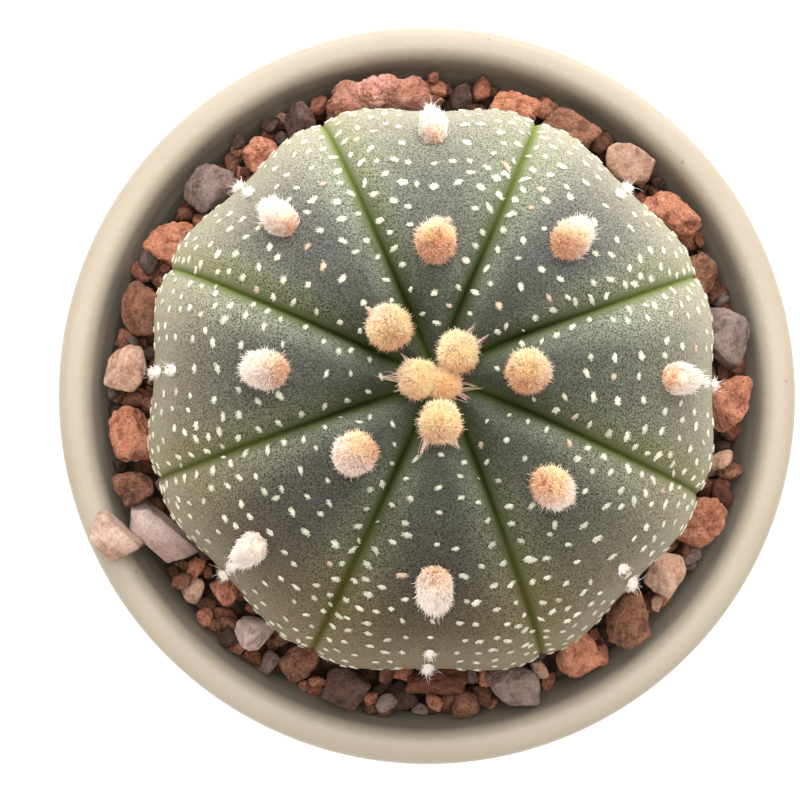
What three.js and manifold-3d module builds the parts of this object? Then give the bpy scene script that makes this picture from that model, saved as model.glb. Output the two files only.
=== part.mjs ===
// A star cactus in a plain pot, in millimetres, +Z up.
// The origin is the centre of the pot's foot ring, on the surface that the pot stands on.
// Seen from above, +X is to the right and +Y is up.
import * as THREE from "three";
import { mergeVertices } from "three/addons/utils/BufferGeometryUtils.js";
import Module from "manifold-3d";

// ---- Driving dimensions ----
const gap = 0.35; // clearance left between neighbouring pieces

const pot = {
  height: 74,
  rimRadius: 41, // outside of the lip
  rimInnerRadius: 37.4,
  lipHeight: 7, // the lip stands a little proud of the tapered wall
  lipStep: 1.6,
  footRadius: 28.4,
  footRingWidth: 5.6,
  footRingHeight: 2,
  floorThickness: 5,
  wall: 3.2,
  drainRadius: 6,
  notchWidth: 5, // three notches let water out from under the foot ring
};

const crock = { radius: 12, rise: 3.2, thickness: 1.8 };

const plant = {
  radius: 30.5, // at the shoulders of the ribs
  widestZ: 81.5, // height of the widest ring
  rise: 20.5, // crown above the widest ring
  domePower: 2.2, // a superellipse a little squarer than an ellipse
  dimpleDepth: 3, // the crown is sunken round the growing point
  dimpleRadius: 7,
  collarRadius: 8, // where the underside narrows to the taproot
  collarZ: 60,
  rootTipRadius: 1.2,
  rootTipZ: 34,
  furrowDepth: 1.9,
  furrowWidth: 2.4,
  furrowFade: 0.6, // share of that depth lost by the widest ring
  furrowFullRadius: 7, // nearer the crown than this the furrows are shallower
  crestFlat: 1.15, // how far the middle of a rib lies inside its shoulders, at the widest ring
  shoulderAcross: 0.78, // where the shoulder is, from the middle of the rib at 0 to a furrow at 1
};

// Headings of the eight furrows at the sides, in degrees counter-clockwise from +X, and how much
// each one has swung by the crown. The first rib lies between the last furrow and the first.
const furrowHeadings = [22.5, 68.3, 113, 155.6, 198.5, 245.2, 292, 337.8];
const furrowSwings = [20, 15, 0, 0, -3, -3, 7, 10];
const swingFade = 8; // the distance from the crown in which most of the swing is gone
const ribCount = furrowHeadings.length;

// Areoles, youngest first, by their distance from the crown along the dome. Each one is three ribs
// round from the one before, 3/8 of a turn. The plant's first years set the close spacing of the
// old ones at the edge.
const areoleDistances = [
  1, 2.2, 3.3, 4.4, 7.3, 8.7, 11, 13.4, 15.1, 17, 19.2, 20.7, 23.2, 25.1, 26.2, 27.5, 28.8, 29.4,
  30, 30.4, 30.9, 31.2, 31.6, 32.4, 33.1, 33.8,
];
const areoleRibStep = 3;
const firstAreoleRib = 7;
const youngAreoles = 4; // those crowded together on the growing point
const freshAreoles = 10; // those whose wool is still golden
const wornAreoles = 16; // from this one on the wool is worn down to a small tuft
const cushion = {
  youngWidth: 2.1,
  fullWidth: 3.6,
  youngHeight: 1.2,
  fullHeight: 2,
  narrowing: 0.8, // lost in width and height by the last before the worn ones
  lengthening: 0.5, // by then they are longer down the rib than across it by this share
  wornWidth: 1.6,
  wornHeight: 0.9,
};

const soilTop = 66;
const gravelTop = 70.4;

// Stones of the top dressing: name, heading in degrees, distance from the axis, yaw off the
// heading, then the size along, across and up. They lie on the gravel unless lift is given.
const stones = [
  ["red_stone_1", -2, 33.4, 90, 6.4, 5.6, 4.6],
  ["grey_stone_1", 11, 33.6, 80, 7.2, 5.8, 4.8],
  ["brown_stone_1", 24, 33.2, 95, 6.2, 5.2, 4.2],
  ["red_stone_2", 36.5, 33.6, 85, 6.8, 5.6, 5],
  ["pale_stone_1", 49, 33.5, 100, 6.6, 5.2, 4.2],
  ["brown_stone_2", 61.5, 33.5, 90, 7, 5.8, 4.8],
  ["red_stone_3", 73, 33.3, 80, 5.4, 5, 4.2],
  ["dark_stone_1", 84.3, 32.8, 90, 3, 4, 4.2],
  ["lava_rock", 99.2, 33.1, 90, 12.8, 5.4, 6.8],
  ["dark_stone_2", 115.4, 33.2, 85, 4, 4.8, 4.6],
  ["red_stone_4", 124.8, 32.8, 95, 4.8, 4.6, 4.6],
  ["grey_stone_2", 136.8, 33.5, 90, 6.6, 5.6, 4.6],
  ["red_stone_5", 149.5, 33.2, 90, 5.6, 5.4, 5],
  ["brown_stone_3", 163, 33.6, 100, 7.2, 5.6, 4.6],
  ["pale_stone_2", 175.5, 33.5, 85, 6.2, 5.4, 4.2],
  ["red_stone_6", 187.5, 33.4, 90, 6.8, 5.8, 4.8],
  ["brown_stone_4", 197.6, 34, 90, 4.2, 4.8, 4.6],
  ["lilac_chip", 209, 33.5, 111, 9.6, 4.2, 4.6],
  ["beige_chip", 204.8, 38.2, 113, 6.6, 4.4, 3, 3.4],
  ["red_stone_7", 223.8, 32.2, 90, 4.4, 3.8, 4.2],
  ["lilac_stone", 233.6, 32.9, 85, 4.4, 4.2, 4],
  ["brown_stone_5", 244, 33.3, 95, 5, 5.2, 4.2],
  ["dark_stone_3", 254, 33.4, 90, 5.4, 5.2, 4.6],
  ["clay_lump", 271, 31.8, 90, 7.4, 3.6, 4.8],
  ["grey_stone_3", 286, 33.5, 80, 6.8, 5.6, 4.6],
  ["red_stone_8", 298.5, 33.4, 95, 6.2, 5.4, 4.6],
  ["brown_stone_6", 311, 33.6, 85, 7, 5.8, 4.8],
  ["pale_stone_3", 323, 33.4, 100, 5.8, 5.2, 4.2],
  ["red_stone_9", 334.5, 33.5, 90, 6.4, 5.6, 5],
];

// ---- Materials ----
function finish(colour, roughness) {
  return new THREE.MeshStandardMaterial({ color: colour, roughness, metalness: 0 });
}
const stoneware = finish(0xe4dfd4, 0.55);
const firedClay = finish(0xb86f4a, 0.9);
const pottingMix = finish(0x3d2c22, 0.95);
const skin = finish(0x5f6a4c, 0.6);
const freshWool = finish(0xe8ac6c, 0.95);
const agedWool = finish(0xeedccc, 0.95);
const stoneColours = {
  red: 0xb0705a,
  grey: 0x8d8580,
  brown: 0x6e4a3a,
  pale: 0xcdb39f,
  dark: 0x3f322d,
  lava: 0xb8705a,
  lilac: 0xa58f8a,
  beige: 0xcfae98,
  clay: 0x5c3a2a,
};

// ---- Outlines swept round the Z axis ----
const degrees = Math.PI / 180;

// Joins an outline at each heading to the next. outlineAt gives the points as [radius, z], or as
// [radius, z, swing] where a point lies that many degrees off the heading. They run from low to
// high for a closed ring, or from the lower pole to the upper pole when capped.
function sweepRound(headings, outlineAt, capped) {
  const rows = headings.map((heading) => outlineAt(heading));
  const length = rows[0].length;
  const positions = [];
  rows.forEach((row, j) => {
    row.forEach(([radius, z, swing = 0]) => {
      const angle = (headings[j] + swing) * degrees;
      positions.push(radius * Math.cos(angle), radius * Math.sin(angle), z);
    });
  });
  const index = [];
  const steps = capped ? length - 1 : length;
  rows.forEach((row, j) => {
    const here = j * length;
    const next = ((j + 1) % rows.length) * length;
    for (let i = 0; i < steps; i += 1) {
      const up = (i + 1) % length;
      const atLowPole = capped && i === 0;
      const atHighPole = capped && i === length - 2;
      if (!atLowPole) index.push(here + i, next + i, next + up);
      if (!atHighPole) index.push(here + i, next + up, here + up);
    }
  });
  const geometry = new THREE.BufferGeometry();
  geometry.setAttribute("position", new THREE.Float32BufferAttribute(positions, 3));
  geometry.setIndex(index);
  return mergeVertices(geometry, 1e-4);
}

function evenHeadings(count) {
  return Array.from({ length: count }, (_, k) => (k * 360) / count);
}

function node(name, geometry, material) {
  geometry.computeVertexNormals();
  const mesh = new THREE.Mesh(geometry, material);
  mesh.name = name;
  return mesh;
}

// ---- The pot, with its drain hole and the notches under its foot ring ----
function potInnerRadius(z) {
  const floorZ = pot.footRingHeight + pot.floorThickness;
  const floorRadius = pot.footRadius - pot.wall;
  const share = (z - floorZ) / (pot.height - floorZ);
  return floorRadius + (pot.rimInnerRadius - floorRadius) * share;
}

function potOutline() {
  const floorZ = pot.footRingHeight + pot.floorThickness;
  const lipZ = pot.height - pot.lipHeight;
  const wallTop = pot.rimRadius - pot.lipStep;
  const footInner = pot.footRadius - pot.footRingWidth;
  const round = 1.2;
  return [
    [pot.drainRadius, floorZ],
    [pot.drainRadius, pot.footRingHeight],
    [footInner - 0.8, pot.footRingHeight],
    [footInner, 0],
    [pot.footRadius - 0.6, 0],
    [pot.footRadius, 0.7],
    [wallTop, lipZ],
    [pot.rimRadius - 0.3, lipZ + 0.9],
    [pot.rimRadius, lipZ + 2],
    [pot.rimRadius, pot.height - round],
    [pot.rimRadius - 0.4 * round, pot.height - 0.3 * round],
    [pot.rimRadius - round, pot.height],
    [pot.rimInnerRadius + round, pot.height],
    [pot.rimInnerRadius + 0.3, pot.height - 0.4 * round],
    [potInnerRadius(pot.height - round), pot.height - round],
    [potInnerRadius(gravelTop), gravelTop],
    [potInnerRadius(floorZ + 4), floorZ + 4],
    [potInnerRadius(floorZ) - 1.6, floorZ + 1],
    [potInnerRadius(floorZ) - 4.5, floorZ],
  ];
}

async function potGeometry() {
  const wasm = await Module();
  wasm.setup();
  const solidOf = (geometry) => {
    const bare = geometry.clone();
    bare.deleteAttribute("normal");
    bare.deleteAttribute("uv");
    const merged = mergeVertices(bare, 1e-4);
    return new wasm.Manifold(
      new wasm.Mesh({
        numProp: 3,
        vertProperties: merged.attributes.position.array,
        triVerts: new Uint32Array(merged.index.array),
      }),
    );
  };
  let solid = solidOf(sweepRound(evenHeadings(60), potOutline, false));
  for (const heading of [90, 210, 330]) {
    const cutter = new THREE.BoxGeometry(
      pot.footRingWidth + 4,
      pot.notchWidth,
      2 * (pot.footRingHeight - 0.4),
    );
    cutter.translate(pot.footRadius - pot.footRingWidth / 2, 0, 0);
    cutter.rotateZ(heading * degrees);
    solid = solid.subtract(solidOf(cutter));
  }
  const { vertProperties, triVerts } = solid.getMesh();
  const geometry = new THREE.BufferGeometry();
  geometry.setAttribute("position", new THREE.BufferAttribute(vertProperties, 3));
  geometry.setIndex(new THREE.BufferAttribute(triVerts, 1));
  return geometry;
}

// ---- The crock: a curved shard laid over the drain hole ----
const crockFoot = pot.footRingHeight + pot.floorThickness + gap;

function crockFace(radius, foot) {
  const face = [0, 0.4, 0.75, 1];
  return face.map((share) => [share * radius, foot + crock.rise * (1 - share * share)]);
}

function crockGeometry() {
  const under = crockFace(crock.radius - 1, crockFoot);
  const over = crockFace(crock.radius, crockFoot + crock.thickness);
  const outline = [...under, ...over.reverse()];
  return sweepRound(evenHeadings(24), () => outline, true);
}

// ---- The plant ----
// The meridian of a rib before its furrows are cut: share 0 is the crown, 1 the widest ring.
function domePoint(share) {
  const angle = (Math.PI / 2) * (1 - share);
  const radius = plant.radius * Math.cos(angle) ** (2 / plant.domePower);
  const height = plant.rise * Math.sin(angle) ** (2 / plant.domePower);
  const dimple = plant.dimpleDepth * Math.exp(-((radius / plant.dimpleRadius) ** 2));
  return [radius, plant.widestZ + height - dimple];
}

// From the widest ring, share 0, down and in to the collar of the root, share 1.
function undersidePoint(share) {
  const angle = (Math.PI / 2) * share;
  const reach = plant.radius - plant.collarRadius;
  const drop = plant.widestZ - plant.collarZ;
  return [
    plant.collarRadius + reach * Math.cos(angle),
    plant.widestZ - drop * Math.sin(angle),
  ];
}

function undersideRadius(z) {
  const sine = Math.min(1, (plant.widestZ - z) / (plant.widestZ - plant.collarZ));
  return undersidePoint(Math.asin(sine) / (Math.PI / 2))[0];
}

function rootPoint(share) {
  const flare = plant.collarRadius - plant.rootTipRadius;
  return [
    plant.rootTipRadius + flare * (1 - share) ** 1.6,
    plant.collarZ - (plant.collarZ - plant.rootTipZ) * share,
  ];
}

// A rib's start and width as headings, and the place at a share across it, from -1 at one furrow
// to 1 at the next. Near the crown the rib has swung with its furrows.
function ribPlace(rib, across, radius) {
  const before = (rib + ribCount - 1) % ribCount;
  const start = furrowHeadings[before] - (rib === 0 ? 360 : 0);
  const width = furrowHeadings[rib] - start;
  const share = (across + 1) / 2;
  const swing = THREE.MathUtils.lerp(furrowSwings[before], furrowSwings[rib], share);
  return {
    half: (width / 2) * degrees,
    heading: start + width * share,
    swing: swing * Math.exp(-radius / swingFade),
  };
}

// How far the skin lies inside the meridian: a sharp furrow each side, a flat along the middle.
function reliefDepth(radius, z, half, across) {
  const side = radius * half * (1 - Math.abs(across));
  const width = plant.furrowWidth;
  const crease = 0.55 * Math.exp(-side / (0.45 * width)) + 0.45 * Math.exp(-((side / width) ** 2));
  const outward = Math.min(1, radius / plant.radius);
  const above = THREE.MathUtils.smoothstep(z, soilTop, gravelTop + 2);
  const nearCrown = Math.min(1, radius / plant.furrowFullRadius);
  const furrow = plant.furrowDepth * nearCrown * (1 - plant.furrowFade * outward ** 4);
  const inMiddle = 1 - THREE.MathUtils.smoothstep(Math.abs(across), 0.08, plant.shoulderAcross);
  const flat = plant.crestFlat * outward ** 4 * inMiddle;
  return above * (furrow * crease + flat);
}

const domeSteps = 13;
const undersideSteps = 9;
const rootSteps = 5;

// The meridian from root tip to crown, with the direction that points out of the skin.
function meridian() {
  const points = [[0, plant.rootTipZ - 0.6]];
  for (let i = rootSteps; i > 0; i -= 1) points.push(rootPoint(i / rootSteps));
  for (let i = undersideSteps; i > 0; i -= 1) points.push(undersidePoint(i / undersideSteps));
  for (let i = domeSteps; i > 0; i -= 1) points.push(domePoint((i / domeSteps) ** 1.25));
  points.push([0, domePoint(0)[1]]);
  return points;
}

function outwardAt(points, i) {
  const before = points[Math.max(0, i - 1)];
  const after = points[Math.min(points.length - 1, i + 1)];
  const along = new THREE.Vector2(after[0] - before[0], after[1] - before[1]).normalize();
  return [along.y, -along.x];
}

function plantGeometry() {
  const acrossRib = [-1, -0.9, -0.68, -0.35, 0, 0.35, 0.68, 0.9];
  const points = meridian();
  const headings = [];
  const outlines = new Map();
  for (let rib = 0; rib < ribCount; rib += 1) {
    for (const across of acrossRib) {
      const { heading } = ribPlace(rib, across, 0);
      const outline = points.map(([radius, z], i) => {
        if (i === 0 || i === points.length - 1) return [0, z];
        const [out, up] = outwardAt(points, i);
        const { half, swing } = ribPlace(rib, across, radius);
        const depth = reliefDepth(radius, z, half, across);
        return [radius - out * depth, z - up * depth, swing];
      });
      headings.push(heading);
      outlines.set(heading, outline);
    }
  }
  return sweepRound(headings, (heading) => outlines.get(heading), true);
}

// ---- Areoles: woolly cushions along the crest of each rib ----
// The point of a rib's crest at a distance along the dome from the crown, and its outward tilt.
function crestPoint(distance, rib) {
  const fine = 400;
  const line = [];
  for (let i = 0; i <= fine; i += 1) line.push(domePoint((i / fine) ** 1.25));
  for (let i = 1; i <= fine; i += 1) line.push(undersidePoint(i / fine));
  let walked = 0;
  for (let i = 1; i < line.length; i += 1) {
    const dr = line[i][0] - line[i - 1][0];
    const dz = line[i][1] - line[i - 1][1];
    walked += Math.hypot(dr, dz);
    if (walked >= distance) {
      const tilt = Math.atan2(-dz, dr); // 0 faces up, a right angle faces out
      const [radius, z] = line[i];
      const { half, heading, swing } = ribPlace(rib, 0, radius);
      const depth = reliefDepth(radius, z, half, 0);
      return {
        radius: radius - Math.sin(tilt) * depth,
        z: z - Math.cos(tilt) * depth,
        angle: (heading + swing) * degrees,
        tilt,
      };
    }
  }
  throw new Error("the areole lies past the root collar");
}

// A cushion with a flat foot: half an egg, longer down the rib as it ages.
function cushionGeometry(width, length, height) {
  const steps = 4;
  const points = [new THREE.Vector2(0, 0)];
  for (let i = 0; i <= steps; i += 1) {
    const angle = ((Math.PI / 2) * i) / steps;
    points.push(new THREE.Vector2(i === steps ? 0 : Math.cos(angle), Math.sin(angle)));
  }
  const geometry = new THREE.LatheGeometry(points, 10);
  geometry.rotateX(Math.PI / 2);
  geometry.scale(length / 2, width / 2, height);
  return geometry;
}

// Width, length down the rib and height of the nth cushion.
function cushionSize(n) {
  const { youngWidth, fullWidth, youngHeight, fullHeight, wornWidth, wornHeight } = cushion;
  if (n >= wornAreoles) return [wornWidth, wornWidth, wornHeight];
  const grown = Math.min(1, n / youngAreoles);
  const age = n / wornAreoles;
  const width = THREE.MathUtils.lerp(youngWidth, fullWidth, grown) - cushion.narrowing * age;
  const height = THREE.MathUtils.lerp(youngHeight, fullHeight, grown) - cushion.narrowing * age;
  return [width, width * (1 + cushion.lengthening * age), height];
}

function areole(n) {
  const turns = areoleRibStep * (n % ribCount);
  const rib = (firstAreoleRib + areoleRibStep * ribCount - turns) % ribCount;
  const { radius, z, angle, tilt } = crestPoint(areoleDistances[n], rib);
  const name = `areole_${String(n + 1).padStart(2, "0")}`;
  const wool = n < freshAreoles ? freshWool : agedWool;
  const mesh = node(name, cushionGeometry(...cushionSize(n)), wool);
  const reach = radius + gap * Math.sin(tilt);
  mesh.rotation.set(0, tilt, angle, "ZYX");
  mesh.position.set(
    reach * Math.cos(angle),
    reach * Math.sin(angle),
    z + gap * Math.cos(tilt),
  );
  return mesh;
}

// ---- Potting mix and the bed of fine gravel over it ----
function soilGeometry() {
  const cavity = [];
  for (let i = rootSteps; i > 0; i -= 1) cavity.push(rootPoint(i / rootSteps));
  for (const share of [1, 0.8, 0.64, 0.52]) {
    const [radius, z] = undersidePoint(share);
    if (z < soilTop - 1) cavity.push([radius, z]);
  }
  const outline = [
    ...crockFace(crock.radius + gap, crockFoot + crock.thickness + gap),
    [crock.radius + gap, crockFoot],
    [potInnerRadius(crockFoot) - 5, crockFoot],
    [potInnerRadius(crockFoot + 4) - 1, crockFoot + 4],
    [potInnerRadius(soilTop) - gap, soilTop],
    [undersideRadius(soilTop) + gap, soilTop],
    ...cavity.reverse().map(([radius, z]) => [radius + gap, z - gap]),
    [0, plant.rootTipZ - 1.2],
  ];
  return sweepRound(evenHeadings(40), () => outline, true);
}

function gravelBedGeometry() {
  const low = soilTop + gap;
  const middle = (low + gravelTop) / 2;
  const inside = (z) => undersideRadius(z) + gap;
  const outside = (z) => potInnerRadius(z) - gap;
  const outline = [
    [inside(low), low],
    [outside(low), low],
    [outside(gravelTop), gravelTop],
    [inside(gravelTop), gravelTop],
    [inside(middle), middle],
  ];
  return sweepRound(evenHeadings(60), () => outline, false);
}

// ---- Stones ----
// A steady number from 0 to 1 for a stone and one of its corners.
function wobble(seed, corner) {
  const raw = Math.sin(seed * 12.9898 + corner * 78.233) * 43758.5453;
  return raw - Math.floor(raw);
}

function stoneMesh([name, heading, distance, yaw, along, across, up, lift = 0], seed) {
  const ball = new THREE.IcosahedronGeometry(1, 1);
  ball.deleteAttribute("normal");
  ball.deleteAttribute("uv");
  const geometry = mergeVertices(ball, 1e-4);
  const corners = geometry.getAttribute("position");
  for (let i = 0; i < corners.count; i += 1) {
    const shrink = 1 - 0.16 * wobble(seed + 1, i);
    corners.setXYZ(
      i,
      (corners.getX(i) * shrink * along) / 2,
      (corners.getY(i) * shrink * across) / 2,
      (corners.getZ(i) * shrink * up) / 2,
    );
  }
  const mesh = node(name, geometry, finish(stoneColours[name.split("_")[0]], 0.85));
  const angle = heading * degrees;
  mesh.rotation.z = angle + yaw * degrees;
  mesh.position.set(
    distance * Math.cos(angle),
    distance * Math.sin(angle),
    gravelTop + gap + lift + up / 2,
  );
  return mesh;
}

// ---- The whole plant in its pot ----
const pottedCactus = new THREE.Group();
pottedCactus.add(
  node("pot", await potGeometry(), stoneware),
  node("drain_crock", crockGeometry(), firedClay),
  node("potting_mix", soilGeometry(), pottingMix),
  node("gravel_bed", gravelBedGeometry(), finish(stoneColours.brown, 0.95)),
  node("cactus_body", plantGeometry(), skin),
);
areoleDistances.forEach((_, n) => pottedCactus.add(areole(n)));
stones.forEach((stone, seed) => pottedCactus.add(stoneMesh(stone, seed)));

export default pottedCactus;
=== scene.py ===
import math

import bmesh
import bpy
import numpy as np
from mathutils import Matrix, Vector, noise


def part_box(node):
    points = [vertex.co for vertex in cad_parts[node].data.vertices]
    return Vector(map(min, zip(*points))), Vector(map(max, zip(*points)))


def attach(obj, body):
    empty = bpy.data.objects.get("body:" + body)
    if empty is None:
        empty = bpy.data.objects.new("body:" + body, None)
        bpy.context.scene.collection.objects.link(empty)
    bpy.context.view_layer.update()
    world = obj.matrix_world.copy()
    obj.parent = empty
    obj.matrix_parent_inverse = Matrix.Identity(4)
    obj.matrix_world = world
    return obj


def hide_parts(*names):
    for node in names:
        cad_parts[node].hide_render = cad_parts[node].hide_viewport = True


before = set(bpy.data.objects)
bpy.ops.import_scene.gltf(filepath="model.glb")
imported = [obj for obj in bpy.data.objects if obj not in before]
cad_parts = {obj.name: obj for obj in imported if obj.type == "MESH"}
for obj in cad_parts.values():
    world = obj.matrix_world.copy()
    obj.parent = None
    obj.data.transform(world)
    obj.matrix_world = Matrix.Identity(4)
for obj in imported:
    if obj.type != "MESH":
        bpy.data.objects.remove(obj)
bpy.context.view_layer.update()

# ---- Pot ----
# A plain stoneware pot, thrown on a wheel, under a matt oatmeal glaze freckled with iron. The foot ring,
# with its three water notches, and the edge of the drain hole are left bare, so that the pot can't stick to
# the kiln shelf.
MM = 0.001
_, pot_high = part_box("pot")
LIP_RADIUS = pot_high.x / MM
POT_HEIGHT = pot_high.z / MM
LIP_INNER_RADIUS = 37.4
LIP_HEIGHT = 7.0
WALL_TOP_RADIUS = 39.4
FOOT_RADIUS = 28.4
FOOT_INNER_RADIUS = 22.8
FOOT_RING_HEIGHT = 2.0
FLOOR_TOP = 7.0
FLOOR_RADIUS = 25.2
DRAIN_RADIUS = 6.0
NOTCH_HEADINGS = (90, 210, 330)
NOTCH_WIDTH = 5.0
NOTCH_HEIGHT = 1.6
BARE_FOOT_HEIGHT = 4.5
POT_STEPS_ROUND = 300


def rounded(corners, steps=6):
    """A closed outline through corners given as (radius, height, rounding), each one turned into a bend."""
    outline = []
    for i, (radius, height, rounding) in enumerate(corners):
        here = np.array([radius, height])
        before = np.array(corners[i - 1][:2]) - here
        after = np.array(corners[(i + 1) % len(corners)][:2]) - here
        reach = min(rounding, 0.45 * np.linalg.norm(before), 0.45 * np.linalg.norm(after))
        start = here + before / np.linalg.norm(before) * reach
        end = here + after / np.linalg.norm(after) * reach
        for t in np.linspace(0, 1, steps + 1):
            outline.append((1 - t) ** 2 * start + 2 * t * (1 - t) * here + t * t * end)
    return np.array(outline)


def filled_in(outline, longest):
    """The same outline with points added, so that no step of it is longer than that."""
    points = []
    for here, after in zip(outline, np.roll(outline, -1, axis=0)):
        parts = max(1, math.ceil(np.linalg.norm(after - here) / longest))
        points += [here + (after - here) * k / parts for k in range(parts)]
    return np.array(points)


def placed(radius, heading, height):
    """Points from their distances from the Z axis, their headings round it in radians, and their heights."""
    return np.stack(np.broadcast_arrays(radius * np.cos(heading), radius * np.sin(heading), height), axis=-1)


def swept(outline, count):
    """An outline of (radius, height) carried round the Z axis: its points, and the quads between them."""
    headings = np.linspace(0, 2 * np.pi, count, endpoint=False)[:, None]
    points = placed(outline[:, 0], headings, outline[:, 1])
    here = np.arange(count)[:, None] * len(outline) + np.arange(len(outline))
    up = np.roll(here, -1, axis=1)
    quads = np.stack([here, np.roll(here, -1, axis=0), np.roll(up, -1, axis=0), up], axis=-1)
    return points.reshape(-1, 3), quads.reshape(-1, 4)


def add_object(name, data):
    """An object of the scene that shows a mesh, a lamp or a camera."""
    made = bpy.data.objects.new(name, data)
    bpy.context.scene.collection.objects.link(made)
    return made


def make_piece(name, points, faces, material, slot, smooth=True):
    """A piece from points in millimetres and one or more arrays of faces. It rides on the one body."""
    groups = faces if isinstance(faces, list) else [faces]
    corners = np.concatenate([g.ravel() for g in groups]).astype(np.int32)
    sizes = np.concatenate([np.full(len(g), g.shape[1]) for g in groups])
    mesh = bpy.data.meshes.new(name)
    mesh.vertices.add(len(points))
    mesh.vertices.foreach_set("co", (np.asarray(points, np.float64) * MM).astype(np.float32).ravel())
    mesh.loops.add(len(corners))
    mesh.loops.foreach_set("vertex_index", corners)
    mesh.polygons.add(len(sizes))
    mesh.polygons.foreach_set("loop_start", np.concatenate([[0], np.cumsum(sizes)[:-1]]).astype(np.int32))
    mesh.polygons.foreach_set("use_smooth", np.full(len(sizes), smooth))
    mesh.update(calc_edges=True)
    mesh.materials.append(material)
    piece = add_object(name, mesh)
    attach(piece, "root")
    return piece


def srgb(red, green, blue):
    """A colour as a picture states it, 0 to 255, in the linear numbers that a shader takes."""
    parts = [c / 255 for c in (red, green, blue)]
    return tuple(p / 12.92 if p <= 0.04045 else ((p + 0.055) / 1.055) ** 2.4 for p in parts) + (1.0,)


class Finish:
    """A material under construction: short calls for the few shader nodes that the finishes here need."""

    def __init__(self, name, roughness):
        self.material = bpy.data.materials.new(name)
        self.material.use_nodes = True
        self.tree = self.material.node_tree
        self.shader = self.tree.nodes["Principled BSDF"]
        self.shader.inputs["Roughness"].default_value = roughness
        self.place = self.tree.nodes.new("ShaderNodeTexCoord").outputs["Object"]

    def give(self, socket, value):
        """Links a value to a socket, or sets it there."""
        if isinstance(value, bpy.types.NodeSocket):
            self.tree.links.new(value, socket)
        else:
            socket.default_value = value

    def node(self, kind, inputs, output=0, **settings):
        made = self.tree.nodes.new("ShaderNode" + kind)
        for key, value in settings.items():
            setattr(made, key, value)
        for key, value in inputs.items():
            self.give(made.inputs[key], value)
        return made.outputs[output]

    def noise(self, size, detail=2.0, roughness=0.5):
        """Cloudy noise whose blotches are about that many millimetres across."""
        inputs = {"Vector": self.place, "Scale": 1 / (size * MM), "Detail": detail, "Roughness": roughness}
        return self.node("TexNoise", inputs)

    def cells(self, size):
        """The distance to the nearest of scattered points, that many millimetres apart."""
        return self.node("TexVoronoi", {"Vector": self.place, "Scale": 1 / (size * MM)}, output="Distance")

    def carried(self, name, output="Fac"):
        """A value that the mesh carries at its points."""
        return self.node("Attribute", {}, output=output, attribute_name=name)

    def times(self, first, second):
        return self.node("Math", {0: first, 1: second}, operation="MULTIPLY")

    def height(self):
        """How high a place on the piece is, in millimetres."""
        return self.times(self.node("SeparateXYZ", {"Vector": self.place}, output="Z"), 1 / MM)

    def between(self, value, low, high, start=0.0, end=1.0):
        """A smooth step of a value: start below low, end above high."""
        return self.node(
            "MapRange",
            {"Value": value, "From Min": low, "From Max": high, "To Min": start, "To Max": end},
            interpolation_type="SMOOTHSTEP",
        )

    def mix(self, share, first, second, how="MIX"):
        inputs = {0: share, 6: first, 7: second}
        return self.node("Mix", inputs, output=2, data_type="RGBA", blend_type=how)

    def bump(self, height, depth, under=None):
        """A surface whose height varies by up to that many millimetres."""
        inputs = {"Height": height, "Distance": depth * MM, "Strength": 1.0}
        if under is not None:
            inputs["Normal"] = under
        return self.node("Bump", inputs)

    def set(self, **sockets):
        """Links or sets the shader's own sockets, named with _ for a space."""
        for key, value in sockets.items():
            self.give(self.shader.inputs[key.replace("_", " ")], value)
        return self.material


def stoneware_glaze():
    """Oatmeal matt glaze, cloudy and freckled with iron, thin and warm on the lip, and none on the foot."""
    finish = Finish("stoneware_glaze", 0.5)
    mix, between = finish.mix, finish.between
    clouds = finish.noise(14, detail=3)
    glaze = mix(clouds, srgb(142, 135, 121), srgb(158, 152, 139))
    freckles = between(finish.cells(2.6), 0.04, 0.12, 1.0, 0.0)
    sparse = between(finish.noise(5, detail=1), 0.5, 0.62)
    freckled = finish.times(finish.times(freckles, sparse), 0.75)
    glaze = mix(freckled, glaze, srgb(94, 70, 48))
    fine = between(finish.cells(0.9), 0.02, 0.1, 0.4, 0.0)
    glaze = mix(fine, glaze, srgb(124, 104, 80))
    height = finish.height()
    edge = finish.times(finish.noise(6, detail=3), 2.4)
    ragged = finish.node("Math", {0: height, 1: edge}, operation="ADD")
    bare = between(ragged, BARE_FOOT_HEIGHT + 0.9, BARE_FOOT_HEIGHT + 1.5, 1.0, 0.0)
    grit = finish.noise(0.5, detail=4, roughness=0.7)
    clay = mix(grit, srgb(148, 118, 88), srgb(180, 152, 122))
    worn = between(height, POT_HEIGHT - 1.1, POT_HEIGHT - 0.1, 0.0, 0.22)
    colour = mix(worn, glaze, srgb(162, 138, 108))
    colour = mix(bare, colour, clay)
    roughness = between(bare, 0.0, 1.0, 0.42, 0.85)
    surface = finish.bump(finish.noise(1.1, detail=3, roughness=0.6), 0.06)
    surface = finish.bump(grit, 0.03, surface)
    return finish.set(Base_Color=colour, Roughness=roughness, Normal=surface, Specular_IOR_Level=0.42)


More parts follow.
